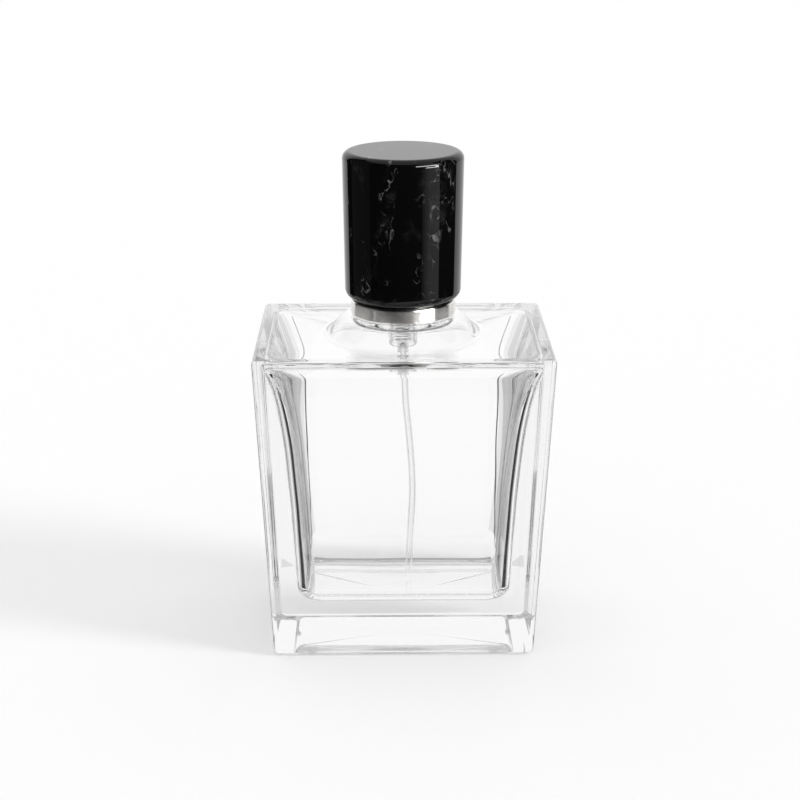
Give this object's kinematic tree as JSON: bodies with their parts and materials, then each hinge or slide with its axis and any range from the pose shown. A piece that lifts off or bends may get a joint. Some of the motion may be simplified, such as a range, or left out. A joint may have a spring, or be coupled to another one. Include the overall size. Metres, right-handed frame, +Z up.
{
  "type": "aftershave bottle",
  "caption": "Thick-walled tapered glass spray bottle with a crimped pump, polished collar, push-button nozzle and a round pull-off cap.",
  "frame": {"origin": "centre of the base, on the surface that the bottle stands on", "axes": "+Z up along the neck and pump axis, +X to the right across the wide face, -Y out of the front, where the nozzle points"},
  "size_m": [0.07, 0.0514, 0.1208],
  "materials": {
    "glass": "clear, polished flint glass",
    "cap_marble": "high-gloss black with faint grey marbling",
    "cap_inner": "moulded black polypropylene",
    "polished_metal": "bright polished and lacquered",
    "button_metal": "satin anodised",
    "steel": "plain drawn or rolled steel",
    "clear_plastic": "unpigmented, slightly milky polypropylene",
    "natural_plastic": "unpigmented polyethylene",
    "white_plastic": "moulded white acetal",
    "rubber": "die-cut black nitrile"
  },
  "bodies": {
    "bottle": {"glass_bottle": "glass", "neck_gasket": "rubber", "crimp_ferrule": "polished_metal", "collar_liner": "natural_plastic", "collar_ring": "polished_metal", "pump_housing": "clear_plastic", "stem_seal": "rubber", "turret": "white_plastic", "dip_tube": "clear_plastic", "return_spring": "steel"},
    "cap": {"cap_shell": "cap_marble", "cap_liner": "cap_inner", "cap_weight": "steel"},
    "stem": {"stem": "white_plastic", "valve_pin": "natural_plastic", "outlet_spring": "steel"},
    "actuator": {"actuator_core": "white_plastic", "actuator_shell": "button_metal", "nozzle_insert": "white_plastic"},
    "piston": {"piston": "natural_plastic"},
    "ball": {"inlet_ball": "steel"}
  },
  "joints": [
    {"name": "cap_lift", "type": "slide", "parent": "bottle", "child": "cap", "axis": [0, 0, 1], "range_m": [0, 0.04]},
    {"name": "actuator_press", "type": "slide", "parent": "bottle", "child": "stem", "axis": [0, 0, -1], "range_m": [0, 0.0045], "stiffness_N_per_m": 1600, "springref_m": -0.0025, "deforming": ["return_spring"]},
    {"name": "actuator_turn", "type": "hinge", "parent": "stem", "child": "actuator", "pos_m": [0, 0, 0], "axis": [0, 0, 1], "continuous": true},
    {"name": "piston_follow", "type": "slide", "parent": "bottle", "child": "piston", "axis": [0, 0, -1], "range_m": [0, 0.0042], "deforming": ["outlet_spring"]},
    {"name": "ball_lift", "type": "slide", "parent": "bottle", "child": "ball", "axis": [0, 0, 1], "range_m": [0, 0.0006]}
  ],
  "couplings": [
    {"joint": "piston_follow", "follows": "actuator_press", "ratio": 0.93333}
  ]
}
